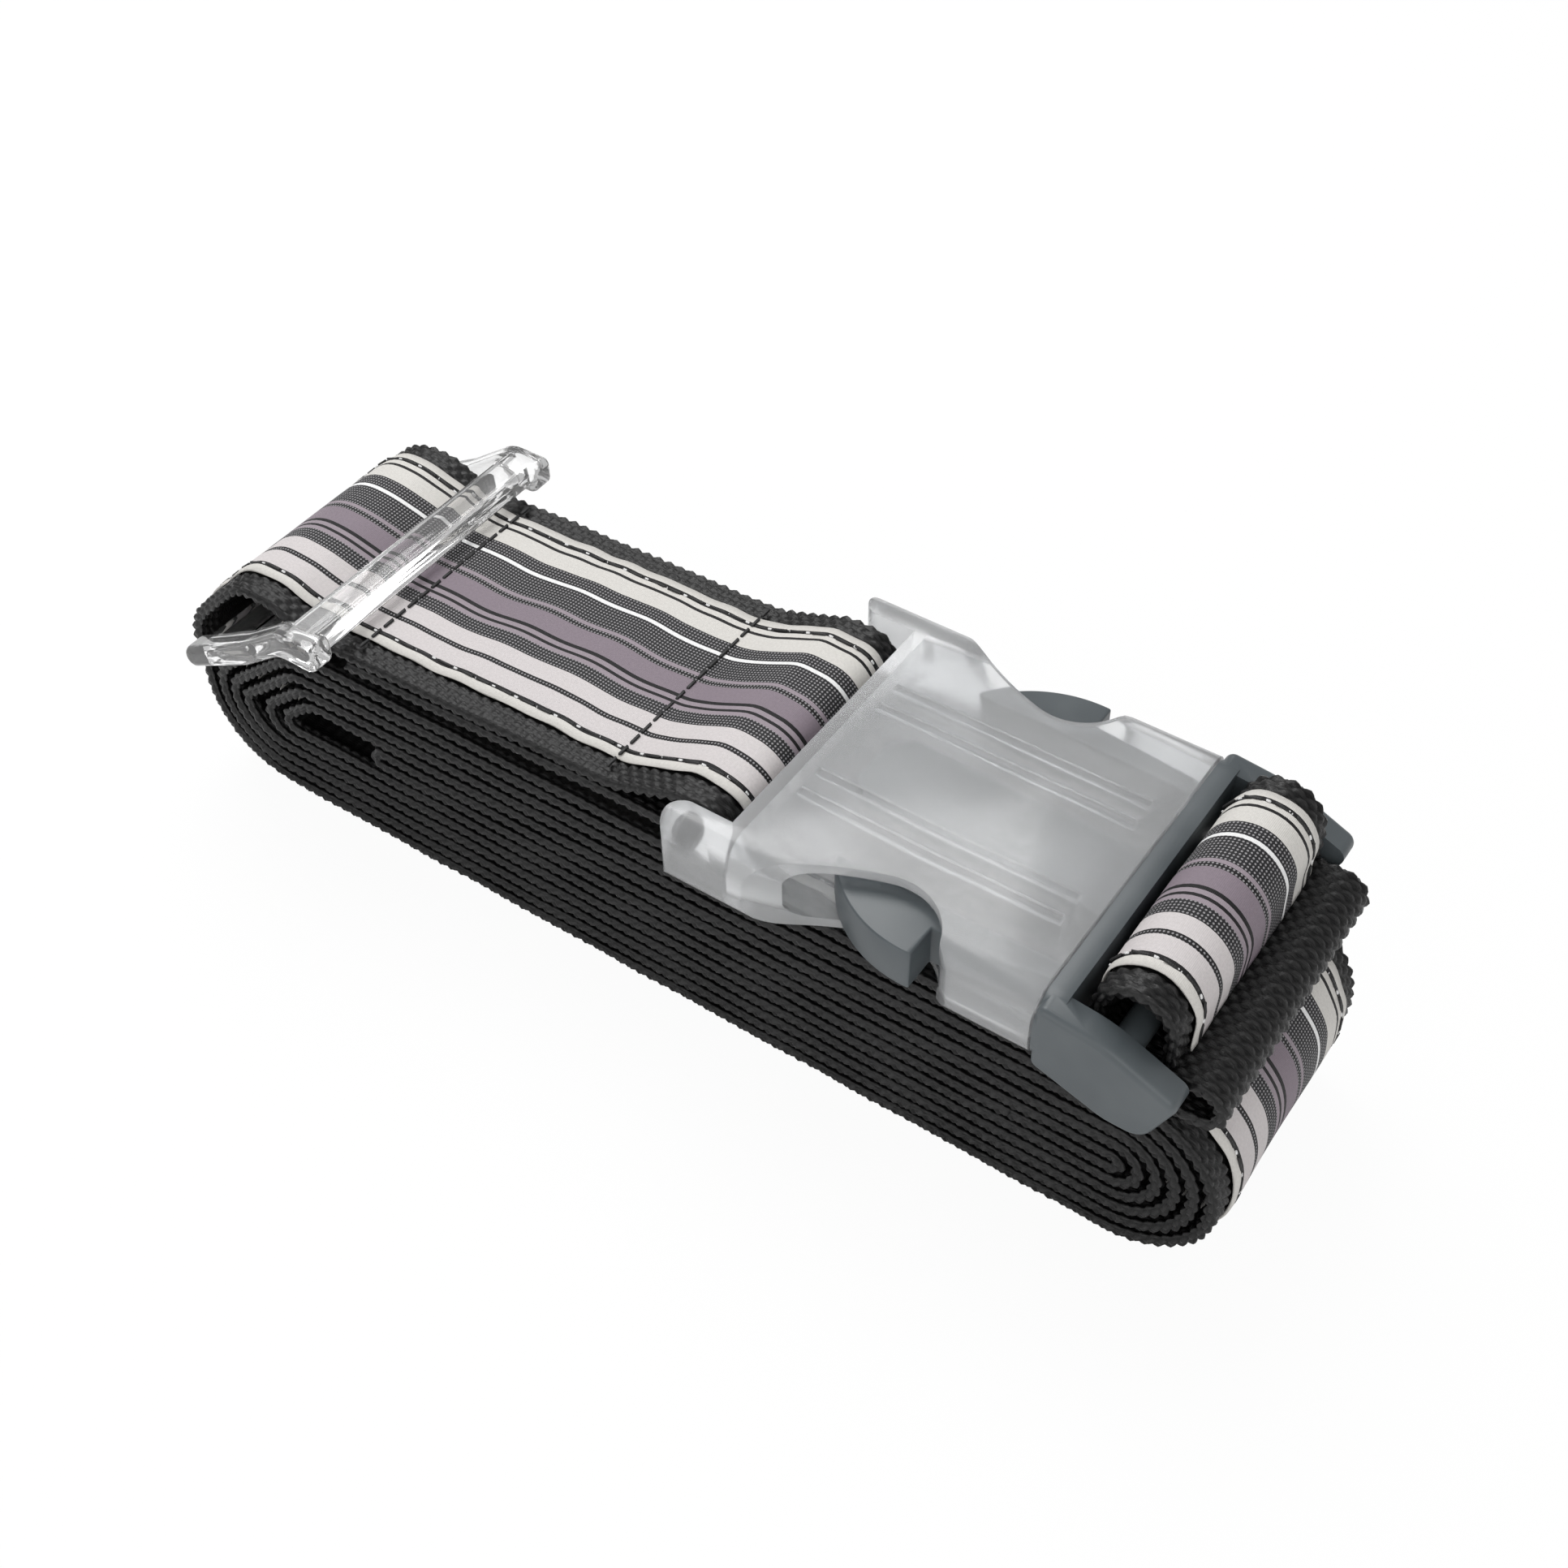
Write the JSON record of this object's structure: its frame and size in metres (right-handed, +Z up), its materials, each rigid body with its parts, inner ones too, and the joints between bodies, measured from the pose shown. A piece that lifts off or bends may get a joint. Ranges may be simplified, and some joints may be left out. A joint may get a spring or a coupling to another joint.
{
  "type": "gait belt",
  "caption": "Rolled woven webbing belt with striped ribbon, side-release buckle closed on top, and a clear slide adjuster.",
  "frame": {"origin": "centre of the roll's length and width, on the surface it lies on", "axes": "+X along the roll towards the plug, +Y across the webbing, +Z up"},
  "size_m": [0.21, 0.065, 0.06],
  "materials": {
    "webbing": "coarse black polypropylene weave",
    "ribbon": "woven ribbon with cream, mauve and charcoal stripes along its length",
    "thread": "black sewing thread",
    "clear_glide": "clear moulded acetal, glossy",
    "clear_socket": "clear moulded plastic with a fine frost",
    "grey_plug": "blue-grey moulded acetal, satin"
  },
  "bodies": {
    "roll": {"webbing_main": "webbing", "ribbon_main": "ribbon", "seam_buckle": "thread", "seam_glide": "thread", "tri_glide": "clear_glide"},
    "socket_half": {"socket": "clear_socket"},
    "plug_half": {"plug": "grey_plug", "webbing_adjuster": "webbing", "ribbon_adjuster": "ribbon"},
    "near_arm": {"latch_arm_near": "grey_plug"},
    "far_arm": {"latch_arm_far": "grey_plug"}
  },
  "joints": [
    {"name": "buckle_tilt", "type": "hinge", "parent": "roll", "child": "socket_half", "pos_m": [0.012, 0, 0.048], "axis": [0, -1, 0], "range_deg": [0, 25]},
    {"name": "plug_release", "type": "slide", "parent": "socket_half", "child": "plug_half", "axis": [1, 0, 0], "range_m": [0, 0.05], "deforming": ["latch_arm_near", "latch_arm_far"]},
    {"name": "near_arm_squeeze", "type": "hinge", "parent": "plug_half", "child": "near_arm", "pos_m": [0.072, -0.0218, 0.0475], "axis": [0, 0, -1], "range_deg": [0, 9], "stiffness_Nm_per_rad": 0.1},
    {"name": "far_arm_squeeze", "type": "hinge", "parent": "plug_half", "child": "far_arm", "pos_m": [0.072, 0.0218, 0.0475], "axis": [0, 0, 1], "range_deg": [0, 9], "stiffness_Nm_per_rad": 0.1}
  ]
}
